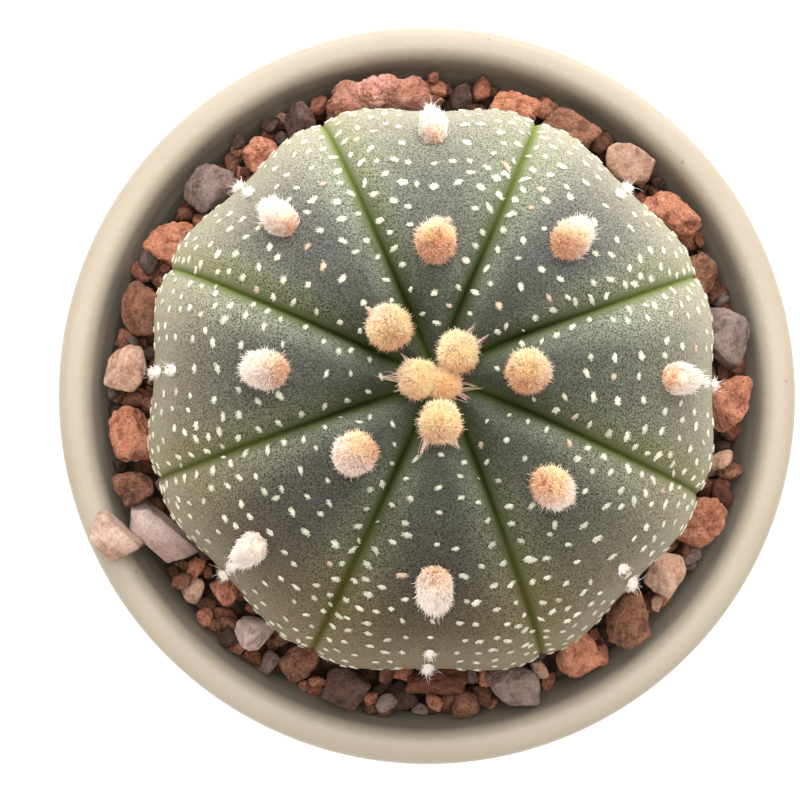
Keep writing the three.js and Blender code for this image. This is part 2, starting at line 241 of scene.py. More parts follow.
def pot_points():
    """The pot's outline swept round, with throwing rings on its walls and the notches cut into its foot."""
    lip_low = POT_HEIGHT - LIP_HEIGHT
    outline = rounded(
        [
            (DRAIN_RADIUS, FLOOR_TOP, 0.7),
            (DRAIN_RADIUS, FOOT_RING_HEIGHT, 0.5),
            (FOOT_INNER_RADIUS - 0.8, FOOT_RING_HEIGHT, 0.7),
            (FOOT_INNER_RADIUS, 0, 0.6),
            (FOOT_RADIUS, 0, 1.0),
            (WALL_TOP_RADIUS, lip_low, 0.9),
            (LIP_RADIUS, lip_low + 1.6, 1.6),
            (LIP_RADIUS, POT_HEIGHT, 2.0),
            (LIP_INNER_RADIUS, POT_HEIGHT, 2.0),
            (FLOOR_RADIUS, FLOOR_TOP, 5.0),
        ]
    )
    points, quads = swept(filled_in(outline, 0.9), POT_STEPS_ROUND)
    heading = np.arctan2(points[:, 1], points[:, 0])
    radius = np.hypot(points[:, 0], points[:, 1])
    height = points[:, 2]
    on_wall = np.clip((height - 8) / 6, 0, 1) * np.clip((POT_HEIGHT - 1 - height) / 4, 0, 1)
    spiral = height / 2.9 + heading / (2 * np.pi)
    rings = 0.05 * np.sin(2 * np.pi * spiral) + 0.03 * np.sin(2 * np.pi * (0.37 * spiral + 0.2))
    grown = (radius + on_wall * rings) / np.maximum(radius, 1e-6)
    points[:, :2] *= grown[:, None]
    for notch in NOTCH_HEADINGS:
        off = np.abs((np.degrees(heading) - notch + 180) % 360 - 180)
        half = math.degrees(NOTCH_WIDTH / 2 / FOOT_RADIUS)
        inside = (off < half) & (radius > FOOT_INNER_RADIUS - 0.9) & (height < NOTCH_HEIGHT)
        points[inside, 2] = NOTCH_HEIGHT
    return points, quads


stoneware_pot = make_piece("stoneware_pot", *pot_points(), stoneware_glaze(), "stoneware")
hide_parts("pot")

# ---- Crock ----
# A curved piece of a broken clay pot, laid hollow side down over the drain hole, so that water runs out and
# the mix stays in. Its edge is a rough break and its clay is unglazed.
crock_low, crock_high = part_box("drain_crock")
CROCK_RADIUS = crock_high.x / MM
CROCK_FOOT = crock_low.z / MM
CROCK_RISE = 3.2
CROCK_THICKNESS = 1.8
CROCK_STEPS_ROUND = 96


def capped_rows(rows):
    """Points and faces of a skin through rows of points, closed at both ends by a point amid the row."""
    count = rows.shape[1]
    points = np.concatenate([rows.reshape(-1, 3), [rows[0].mean(0), rows[-1].mean(0)]])
    here = np.arange(rows.shape[0] - 1)[:, None] * count + np.arange(count)
    after = np.roll(here, -1, axis=1)
    quads = np.stack([here, after, after + count, here + count], axis=-1).reshape(-1, 4)
    first = np.arange(count)
    last = first + (rows.shape[0] - 1) * count
    start_cap = np.stack([np.roll(first, -1), first, np.full(count, len(points) - 2)], axis=-1)
    end_cap = np.stack([last, np.roll(last, -1), np.full(count, len(points) - 1)], axis=-1)
    return points, [quads, start_cap, end_cap]


def fractal(points, scale, shift, fading, octaves):
    """Uneven heights at points: noise in several sizes, each finer and weaker than the last."""
    return np.array([noise.fractal(Vector(p) * scale + shift, fading, 2, octaves) for p in points])


def broken_clay():
    """Unglazed red clay, its broken grain a little darker."""
    finish = Finish("broken_clay", 0.88)
    grain = finish.noise(0.6, detail=4, roughness=0.7)
    clay = finish.mix(finish.noise(5), srgb(176, 98, 62), srgb(200, 126, 86))
    clay = finish.mix(finish.between(grain, 0.5, 0.75, 0.0, 0.5), clay, srgb(120, 66, 44))
    return finish.set(Base_Color=clay, Normal=finish.bump(grain, 0.08))


def crock_rows():
    """The shard's skin in rows: from the middle of its underside to the broken edge and back over the top."""
    headings = np.linspace(0, 2 * np.pi, CROCK_STEPS_ROUND, endpoint=False)
    edge = fractal(placed(1, headings, 3.7), 1.9, Vector(), 1, 4)
    reach = CROCK_RADIUS * (0.93 + 0.05 * np.clip(edge, -1, 1))
    shares = [0.03, 0.2, 0.4, 0.6, 0.8, 0.94, 1.0]
    faces = [(share * 0.95, 0.0) for share in shares]
    faces += [(1.0, CROCK_THICKNESS * 0.3), (1.0, CROCK_THICKNESS * 0.8)]
    faces += [(share, CROCK_THICKNESS) for share in reversed(shares)]
    rows = []
    for share, lift in faces:
        rows.append(placed(share * reach, headings, CROCK_FOOT + CROCK_RISE * (1 - share**2) + lift))
    return np.array(rows)


crock = make_piece("clay_crock", *capped_rows(crock_rows()), broken_clay(), "fired_clay")
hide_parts("drain_crock")

# ---- Potting mix ----
# Dark gritty cactus mix, bark and pumice, poured round the root. It lies under the top dressing, and shows
# only where a gap between the grains goes right down.


def gritty_mix():
    """Dark crumbs with a pale grain of pumice here and there."""
    finish = Finish("gritty_mix", 0.95)
    crumbs = finish.cells(1.3)
    mix = finish.mix(finish.between(crumbs, 0.1, 0.7), srgb(84, 62, 46), srgb(40, 29, 22))
    pumice = finish.between(finish.cells(3.4), 0.14, 0.2, 1.0, 0.0)
    mix = finish.mix(pumice, mix, srgb(176, 164, 146))
    return finish.set(Base_Color=mix, Normal=finish.bump(crumbs, 0.5))


potting_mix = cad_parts["potting_mix"]
potting_mix.data.materials.clear()
potting_mix.data.materials.append(gritty_mix())

# ---- Cactus body ----
# One spineless head of eight broad ribs on a narrow foot and a taproot, grown as one piece. Its skin is
# grey-green and finely grained; it is smooth and bright green in the furrows, and paler and olive towards
# the sides.
SHOULDER_RADIUS = 30.5
WIDEST_HEIGHT = 81.5
CROWN_RISE = 20.5
DOME_POWER = 2.2
DIMPLE_DEPTH = 3.0
DIMPLE_RADIUS = 7.0
COLLAR_RADIUS = 8.0
COLLAR_HEIGHT = 60.0
ROOT_TIP_RADIUS = 1.2
ROOT_TIP_HEIGHT = 34.0
FURROW_HEADINGS = np.array([22.5, 68.3, 113, 155.6, 198.5, 245.2, 292, 337.8])
FURROW_SWINGS = np.array([20, 15, 0, 0, -3, -3, 7, 10.0])
SWING_FADE = 8.0
RIBS = len(FURROW_HEADINGS)
FURROW_DEPTH = 1.9
FURROW_WIDTH = 1.5
FURROW_SEAM = 0.3
FURROW_FADE = 0.7
FURROW_FULL_RADIUS = 7.0
BARE_FURROW_WIDTH = 0.36
CREST_ROUNDING = 0.4
CREST_FLAT = 1.15
SHOULDER_ACROSS = 0.78
RIB_ARCH = 0.85
SWELL_DEPTH = 0.14
ARCH_FULL_RADIUS = 9
VIOLET_SHARES = np.array([0.6, 1.0, 0.6, 0.95, 0.8, 1.0, 0.95, 0.6])
MIX_TOP = 66.0
GRAVEL_TOP = 70.4
WINDOW_HEADING = 82.0
DOME_STEPS = 1500
COLUMNS_PER_RIB = 80
ROWS_ABOVE_GRAVEL = 132
ROWS_BELOW_GRAVEL = 18


def unit(vectors):
    return vectors / np.linalg.norm(vectors, axis=-1, keepdims=True)


def meridian():
    """The line from the crown over the shoulder and under to the root's tip, without furrows: columns of the
    distance walked along it, the radius, the height, and the outward and upward parts of its normal."""
    angle = np.pi / 2 * (1 - np.linspace(0, 1, DOME_STEPS) ** 1.25)
    dome = SHOULDER_RADIUS * np.cos(angle) ** (2 / DOME_POWER)
    dome_height = WIDEST_HEIGHT + CROWN_RISE * np.sin(angle) ** (2 / DOME_POWER)
    dome_height -= DIMPLE_DEPTH * np.exp(-((dome / DIMPLE_RADIUS) ** 2))
    turn = np.pi / 2 * np.linspace(0, 1, 800)[1:]
    under = COLLAR_RADIUS + (SHOULDER_RADIUS - COLLAR_RADIUS) * np.cos(turn)
    under_height = WIDEST_HEIGHT - (WIDEST_HEIGHT - COLLAR_HEIGHT) * np.sin(turn)
    down = np.linspace(0, 1, 300)[1:]
    root = ROOT_TIP_RADIUS + (COLLAR_RADIUS - ROOT_TIP_RADIUS) * (1 - down) ** 1.6
    root_height = COLLAR_HEIGHT - (COLLAR_HEIGHT - ROOT_TIP_HEIGHT) * down
    radius = np.concatenate([dome, under, root])
    height = np.concatenate([dome_height, under_height, root_height])
    walked = np.concatenate([[0], np.cumsum(np.hypot(np.diff(radius), np.diff(height)))])
    along = unit(np.stack([np.gradient(radius), np.gradient(height)], axis=-1))
    return np.stack([walked, radius, height, -along[:, 1], along[:, 0]], axis=-1)


MERIDIAN = meridian()
SHOULDER_WALK = float(MERIDIAN[np.argmax(MERIDIAN[:, 1]), 0])


def on_meridian(walked, column):
    return np.interp(walked, MERIDIAN[:, 0], MERIDIAN[:, column])


def smooth_step(value, low, high):
    t = np.clip((value - low) / (high - low), 0, 1)
    return t * t * (3 - 2 * t)


def rib_span(rib):
    """How many degrees a rib takes up round the plant."""
    return (FURROW_HEADINGS[rib] - FURROW_HEADINGS[rib - 1]) % 360


def rib_half_width(rib, walked):
    """Half the width of a rib in millimetres, measured round the plant, that far from the crown."""
    return on_meridian(walked, 1) * np.radians(rib_span(rib) / 2)


def skin_points(rib, across, walked):
    """Places on the skin, from rib numbers, places across the rib (-1 to 1), and distances from the crown."""
    radius, height, out, up = (on_meridian(walked, column) for column in (1, 2, 3, 4))
    share = (across + 1) / 2
    swing = FURROW_SWINGS[rib - 1] + (FURROW_SWINGS[rib] - FURROW_SWINGS[rib - 1]) * share
    swung = swing * np.exp(-radius / SWING_FADE)
    heading = np.radians(FURROW_HEADINGS[rib] - rib_span(rib) * (1 - share) + swung)
    off_crest = np.hypot(across, CREST_ROUNDING) - CREST_ROUNDING
    off_crest /= math.hypot(1, CREST_ROUNDING) - CREST_ROUNDING
    side = rib_half_width(rib, walked) * (1 - off_crest)
    crease = 0.5 * np.exp(-side / FURROW_SEAM) + 0.5 * np.exp(-((side / FURROW_WIDTH) ** 1.4))
    grown = np.minimum(1, radius / ARCH_FULL_RADIUS)
    outward = np.minimum(1, radius / SHOULDER_RADIUS) ** 4
    furrow = FURROW_DEPTH * np.minimum(1, radius / FURROW_FULL_RADIUS) * (1 - FURROW_FADE * outward)
    flat = CREST_FLAT * outward * (1 - smooth_step(np.abs(across), 0.08, SHOULDER_ACROSS))
    arch = RIB_ARCH * grown * (1 - outward) * across**2
    swell = SWELL_DEPTH * np.sin(0.31 * walked + 2 * heading) * np.sin(0.23 * walked - 5 * heading) * grown
    depth = smooth_step(height, MIX_TOP, GRAVEL_TOP + 2) * (furrow * crease + flat + arch + swell)
    return placed(radius - out * depth, heading, height - up * depth)


def skin_frame(rib, across, walked):
    """At one place on the skin: the point, and the directions down the rib, across it and out of the skin."""
    step = 0.05
    turn = step / max(rib_half_width(rib, walked), 0.5)
    point = skin_points(rib, across, walked)
    down = unit(skin_points(rib, across, walked + step) - skin_points(rib, across, max(walked - step, 0)))
    over = skin_points(rib, across + turn, walked) - skin_points(rib, across - turn, walked)
    out = unit(np.cross(down, over))
    return point, down, np.cross(out, down), out


def cactus_skin():
    """Grey-green skin with a fine pale grain, darkest round the crown (partly painted shade), dull violet on
    the crests, green towards the furrows and bare bright green in them, and paler olive out at the sides
    (partly painted sheen). It carries painted shade on the side turned from the window and painted highlights
    on the flanks that face it."""
    finish = Finish("cactus_skin", 0.52)
    mix, between = finish.mix, finish.between
    furrow = finish.carried("furrow")
    outward = finish.carried("outward")
    crest = finish.carried("crest")
    patches = finish.noise(6, detail=3)
    # Darkest round the crown, partly painted shade among the young cushions there, and paler olive at the
    # sides, partly painted sheen.
    crown = mix(patches, srgb(34, 38, 24), srgb(42, 44, 32))
    violet = mix(patches, srgb(72, 73, 67), srgb(82, 80, 79))
    green = mix(patches, srgb(98, 102, 80), srgb(108, 111, 92))
    middle = mix(crest, green, violet)
    olive = mix(patches, srgb(151, 147, 122), srgb(139, 134, 111))
    colour = mix(between(outward, 0.1, 0.62), crown, middle)
    colour = mix(between(outward, 0.45, 0.95), colour, olive)
    grain = finish.noise(0.17, detail=1.5, roughness=0.6)
    away = between(furrow, 0.03, 0.4, 1.0, 0.0)
    away = finish.times(away, between(outward, 0.4, 1.0, 1.0, 0.45))
    pale = finish.times(between(grain, 0.46, 0.7), away)
    dark = finish.times(between(grain, 0.32, 0.52, 0.85, 0.0), away)
    colour = mix(pale, colour, (1.7, 1.72, 2.0, 1), how="MULTIPLY")
    colour = mix(dark, colour, srgb(24, 27, 20))
    # The furrow colours are darker near the crown, where the furrows are deep: painted shade. Further out
    # they are lighter and greener, partly painted light shining through the skin.
    glow = between(furrow, 0.0, 0.3, 0.0, 0.5)
    glow = finish.times(glow, between(outward, 0.1, 0.6, 0.7, 1.0))
    glowing = mix(between(outward, 0.2, 0.6), srgb(66, 76, 30), srgb(106, 116, 66))
    colour = mix(glow, colour, glowing)
    deep = mix(patches, srgb(46, 58, 2), srgb(54, 66, 8))
    light = mix(patches, srgb(104, 120, 46), srgb(114, 128, 58))
    bright = mix(between(outward, 0.2, 0.66), deep, light)
    colour = mix(between(furrow, 0.35, 0.9), colour, bright)
    # Painted light and shade: browner and darker on the side turned from the window, lighter on flanks that
    # face it, and yellower on flanks by the furrows that are turned from it.
    colour = mix(finish.carried("shaded"), colour, srgb(174, 153, 116), how="MULTIPLY")
    colour = mix(finish.carried("painted_highlight"), colour, (1.9, 1.9, 2.1, 1), how="MULTIPLY")
    colour = mix(finish.carried("painted_flank_shade"), colour, (0.94, 0.95, 0.76, 1), how="MULTIPLY")
    surface = finish.bump(grain, 0.05)
    surface = finish.bump(finish.noise(1.2, detail=2), 0.06, surface)
    return finish.set(
        Base_Color=colour,
        Roughness=between(furrow, 0.1, 0.6, 0.5, 0.9),
        Normal=surface,
        Specular_IOR_Level=0.17,
    )


def skin_net():
    """The points of the skin, row by row from the crown to the root's tip and closely spaced towards the
    furrows, and the rib, the place across it and the distance from the crown of each."""
    even = np.linspace(-1, 1, COLUMNS_PER_RIB, endpoint=False)
    across = np.tile(np.sign(even) * (1 - (1 - np.abs(even)) ** 1.3), RIBS)
    rib = np.repeat(np.arange(RIBS), COLUMNS_PER_RIB)
    gravel_walk = np.interp(-GRAVEL_TOP, -MERIDIAN[DOME_STEPS:, 2], MERIDIAN[DOME_STEPS:, 0])
    above = np.linspace(0.3, gravel_walk, ROWS_ABOVE_GRAVEL)
    below = np.linspace(gravel_walk + 1, MERIDIAN[-1, 0], ROWS_BELOW_GRAVEL)
    rib, across, walked = np.broadcast_arrays(rib, across, np.concatenate([above, below])[:, None])
    return skin_points(rib, across, walked), rib, across, walked


def skin_looks(rows, rib, across, walked):
    """What the skin's finish reads at each point, from 0 to 1: how near it is to a furrow, how far out, how
    near a crest, how far on the side away from the window (painted shade), how much painted highlight its
    flank gets from facing the window, and how much painted shade from being turned from it."""
    side = rib_half_width(rib, walked) * (1 - np.abs(across))
    outward = np.minimum(1, walked / SHOULDER_WALK)
    heading = np.arctan2(rows[..., 1], rows[..., 0])
    turned_away = 0.5 - 0.5 * np.cos(heading - math.radians(WINDOW_HEADING - 4))
    flank_heading = heading + np.sign(across) * np.pi / 2
    facing = np.maximum(0, np.cos(flank_heading - math.radians(WINDOW_HEADING)))
    averted = np.maximum(0, -np.cos(flank_heading - math.radians(WINDOW_HEADING - 20)))
    by_furrow = smooth_step(side, 0.25, 0.9) * (1 - smooth_step(side, 1.6, 3.4))
    flank = smooth_step(side, 0.3, 1.3) * smooth_step(np.abs(across), 0.2, 0.7)
    near_crown = smooth_step(outward, 0.05, 0.16) * (1 - smooth_step(outward, 0.22, 0.4))
    further_out = smooth_step(outward, 0.1, 0.3) * (1 - 0.5 * smooth_step(outward, 0.4, 0.8))
    above_gravel = smooth_step(rows[..., 2], GRAVEL_TOP - 3, GRAVEL_TOP + 1)
    below_shoulder = smooth_step(walked, SHOULDER_WALK, SHOULDER_WALK + 9)
    return {
        "furrow": above_gravel * np.exp(-((side / BARE_FURROW_WIDTH) ** 1.1)),
        "outward": outward,
        "crest": smooth_step(1 - np.abs(across), 0.15, 0.75) * VIOLET_SHARES[rib],
        # Painted shade on the side turned from the window, a painted highlight on flanks facing it, and
        # painted shade that yellows flanks by the furrows turned from it.
        "shaded": turned_away**1.5 * smooth_step(outward, 0.1, 0.7) * (1 - 0.6 * below_shoulder),
        "painted_highlight": np.maximum(by_furrow * near_crown * (1 - averted), 0.4 * facing * flank * further_out),
        "painted_flank_shade": averted * by_furrow * smooth_step(outward, 0.1, 0.3),
    }


def carry(piece, name, values):
    """Gives every point of a piece a number that its finish can read."""
    carried = piece.data.attributes.new(name, "FLOAT", "POINT")
    carried.data.foreach_set("value", np.asarray(values, np.float32))


def cactus_body():
    net = skin_net()
    points, faces = capped_rows(net[0][::-1])
    body = make_piece("cactus_head_and_root", points, faces, cactus_skin(), "skin")
    for name, values in skin_looks(*net).items():
        carry(body, name, np.append(values[::-1], [values[-1].mean(), values[0].mean()]))
    return body


body = cactus_body()
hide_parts("cactus_body")

# ---- Areoles ----
# The cushions of wool along the crest of each rib, from which the flowers come. New ones at the crown are
# golden and packed; with age they bleach to white, comb out into an egg pointing down the rib, and wear to
# a small tuft.
AREOLE_DISTANCES = (
    1, 2.2, 3.3, 4.4, 7.3, 8.7, 11, 13.4, 15.1, 17, 19.2, 20.7, 23.2, 25.1, 26.2, 27.5, 28.8, 29.4,
    30, 30.4, 30.9, 31.2, 31.6, 32.4, 33.1, 33.8,
)
FIRST_AREOLE_RIB = 7
AREOLE_RIB_STEP = 3
# How many of them, from the youngest, are still growing, still golden, up on the dome, and not yet worn.
YOUNG_AREOLES = 4
FRESH_AREOLES = 10
DOME_AREOLES = 12
WORN_AREOLES = 16
BLEACHED_SHARES = (0, 0, 0.05, 0, 0.1, 0.12, 0.55, 0.15, 0.42, 0.72, 0.5, 0.74, 0.8, 0.78, 1.0, 0.9)
COAT_FIBRES = 6000
COAT_CLUMPS = 900
STRAY_HAIRS = 420
DOWN_RIB = np.array([1.0, 0, 0.12])
# Long tufts that trail from the young ones: a heading from down the rib, a reach, and how many hairs.
TAILS = {
    0: ((4, 3.0, 12), (28, 3.0, 9), (-30, 2.6, 7), (-58, 1.6, 5)),
    1: ((6, 2.8, 9), (-8, 1.9, 5), (-52, 1.7, 8), (34, 1.4, 4)),
    2: ((-24, 1.9, 14), (14, 1.8, 10), (-2, 1.0, 8)),
    3: ((-38, 2.2, 24), (34, 1.7, 18)),
    4: ((6, 1.4, 24), (-14, 0.9, 10)),
}


def dye(red, green, blue):
    """A colour for wool: its fibres carry it as three numbers that can be mixed."""
    return np.array(srgb(red, green, blue)[:3])


YELLOW_WOOL = dye(255, 241, 196)
ORANGE_WOOL = dye(249, 206, 155)
RUST_WOOL = dye(236, 190, 156)
DEEP_WOOL = dye(232, 178, 136)
PINK_WOOL = dye(246, 219, 202)
WHITE_WOOL = dye(254, 250, 246)


def areole_rib(n):
    return (FIRST_AREOLE_RIB - AREOLE_RIB_STEP * n) % RIBS


def fibres(roots, tips, bends, thick, segments):
    """Fine tapered three-sided hairs from roots to tips, each bowed by its bend: points and triangles."""
    count = len(roots)
    t = np.linspace(0, 1, segments + 1)[None, :, None]
    line = roots[:, None] * (1 - t) + tips[:, None] * t + bends[:, None] * (4 * t * (1 - t))
    way = unit(tips - roots)
    helper = np.where(np.abs(way[:, 2:3]) < 0.8, [[0, 0, 1.0]], [[1.0, 0, 0]])
    first = unit(np.cross(way, helper))
    second = np.cross(way, first)
    taper = np.linspace(1, 0.3, segments + 1)[None, :] * np.broadcast_to(thick, (count,))[:, None] / 2
    rings = []
    for corner in (0, 2 * np.pi / 3, 4 * np.pi / 3):
        aside = first * np.cos(corner) + second * np.sin(corner)
        rings.append(line + aside[:, None] * taper[..., None])
    points = np.stack(rings, axis=2).reshape(-1, 3)
    base = np.arange(count)[:, None, None] * (segments + 1) * 3 + np.arange(segments)[None, :, None] * 3
    corner = np.arange(3)[None, None, :]
    here, after = base + corner, base + (corner + 1) % 3
    sides = [np.stack([here, after, after + 3], -1), np.stack([here, after + 3, here + 3], -1)]
    start = np.arange(count)[:, None] * (segments + 1) * 3
    ends = [start + [[0, 2, 1]], start + segments * 3 + [[0, 1, 2]]]
    return points, np.concatenate([part.reshape(-1, 3) for part in sides + ends])


def wool_finish(name):
    """Matt wool in the colours that its fibres carry, with a little uneven staining."""
    finish = Finish(name, 0.9)
    carried = finish.carried("wool_colour", output="Color")
    stain = finish.between(finish.noise(0.6, detail=2), 0.4, 0.75, 0.0, 0.12)
    colour = finish.mix(stain, carried, srgb(236, 186, 146), how="MULTIPLY")
    return finish.set(Base_Color=colour, Specular_IOR_Level=0.1)


WOOL_FINISHES = {name: wool_finish(name) for name in ("fresh_wool", "aged_wool")}


def ball_mesh(level):
    """A unit ball of small triangles: its points and faces."""
    made = bmesh.new()
    bmesh.ops.create_icosphere(made, subdivisions=level, radius=1)
    points = np.array([v.co for v in made.verts])
    faces = np.array([[v.index for v in f.verts] for f in made.faces])
    made.free()
    return points, faces


BALLS = {level: ball_mesh(level) for level in (3, 4, 5, 6)}


def spread_directions(rng, count, lowest):
    """Directions spread evenly over a ball, down to the given upward part, a little jittered."""
    k = np.arange(count) + 0.5
    up = 1 - (1 - lowest) * k / count
    golden_turn = math.pi * (3 - math.sqrt(5))
    directions = placed(np.sqrt(np.maximum(0, 1 - up * up)), k * golden_turn, up)
    return unit(directions + rng.normal(0, 0.06, directions.shape))


def colour_points(piece, colours):
    carried = piece.data.attributes.new("wool_colour", "FLOAT_COLOR", "POINT")
    flat = np.concatenate([colours, np.ones((len(colours), 1))], axis=1)
    carried.data.foreach_set("color", flat.astype(np.float32).ravel())


def joined(parts):
    """Several lumps as one: their points, their faces renumbered, and whatever else their points carry."""
    points, faces, *carried = zip(*parts)
    starts = np.cumsum([0] + [len(p) for p in points[:-1]])
    faces = [f + start for f, start in zip(faces, starts)]
    return [np.concatenate(column) for column in (points, faces, *carried)]


class Tuft:
    """Wool growing at one place on the skin, gathered as points, triangles and colours. Inside it, places are
    in millimetres down the rib, across it, and out of the skin."""

    def __init__(self, rib, walked, lift, lean=0.0):
        place, down, over, out = skin_frame(rib, 0.0, walked)
        self.turned = np.stack([down, over, out])
        self.centre = place + out * lift
        self.lean = lean
        self.parts = []

    def lit_side(self, directions):
        """How far directions in the tuft point towards the window, from -1 to 1."""
        return (directions @ self.turned)[:, 1:2]

    def add(self, points, faces, colours):
        leant = points.copy()
        leant[:, 2] += self.lean * np.maximum(points[:, 0], 0)
        self.parts.append((self.centre + leant @ self.turned, faces, np.clip(colours, 0, 1)))

    def add_hairs(self, roots, tips, bends, thick, root_colours, tip_colours, segments):
        points, faces = fibres(roots, tips, bends, thick, segments)
        along = np.tile(np.repeat(np.linspace(0, 1, segments + 1), 3), len(roots))[:, None] ** 0.7
        per_hair = 3 * (segments + 1)
        first = np.repeat(root_colours, per_hair, axis=0)
        last = np.repeat(tip_colours, per_hair, axis=0)
        self.add(points, faces, first * (1 - along) + last * along)

    def piece(self, name, slot):
        points, faces, colours = joined(self.parts)
        made = make_piece(name, points, faces, WOOL_FINISHES[slot], slot)
        colour_points(made, colours)
        return made


def wool_colours(n, places, lit_side, rng):
    """What colour the wool of the nth areole has at places on it, given as parts of its half sizes. It is
    paler and yellower on the side towards the window, and more orange and darker on the side away from it and
    towards the skin: painted light and shade."""
    age = min(1, n / WORN_AREOLES)
    bleached_share = BLEACHED_SHARES[n]
    cloud = np.array([noise.noise(Vector(p) * 1.4 + Vector((n, 3.1 * n, 0))) for p in places])[:, None]
    shade = rng.normal(0, 1, (len(places), 1))
    # Painted light and shade: more orange on the side turned from the window, less on the side facing it, and
    # more orange towards the skin.
    orange = 0.16 + 0.5 * smooth_step(n, 2.5, 6) + 0.6 * cloud + 0.15 * shade - 0.5 * lit_side
    orange += 0.35 * smooth_step(-places[:, 2:3], -0.8, 0.1)
    if n == 0:
        orange += 0.7
    orange = np.clip(orange, 0, 1)
    colour = YELLOW_WOOL * (1 - orange) + ORANGE_WOOL * orange
    # The rust colour of older wool is partly real, and leans to the side turned from the window as painted
    # shade.
    rusty = min(1, n / 7) * smooth_step(orange - 0.5 * places[:, :1] - 0.25 * lit_side, 0.35, 1.1)
    colour = colour * (1 - rusty) + RUST_WOOL * rusty
    edge = 1.25 - 2.5 * bleached_share
    bleached = smooth_step(places[:, :1] + 0.34 * shade + 0.35 * cloud, edge - 0.55, edge + 0.4)
    if bleached_share >= 1:
        bleached = np.ones_like(bleached)
    # Painted shade: darker on the side turned from the window.
    colour = colour * (1 - 0.14 * min(1, n / 5) * np.maximum(0, -lit_side) * [0.5, 1, 1.2])
    pale = PINK_WOOL * (1 - age) + WHITE_WOOL * age
    colour = colour * (1 - bleached) + pale * bleached
    # The roots are a deeper orange and darker than the tips: partly the wool's own colour, partly painted
    # shade inside the coat.
    under = colour * DEEP_WOOL ** (0.8 * (1 - 0.5 * bleached))
    return under, colour * (1 + 0.13 * shade)


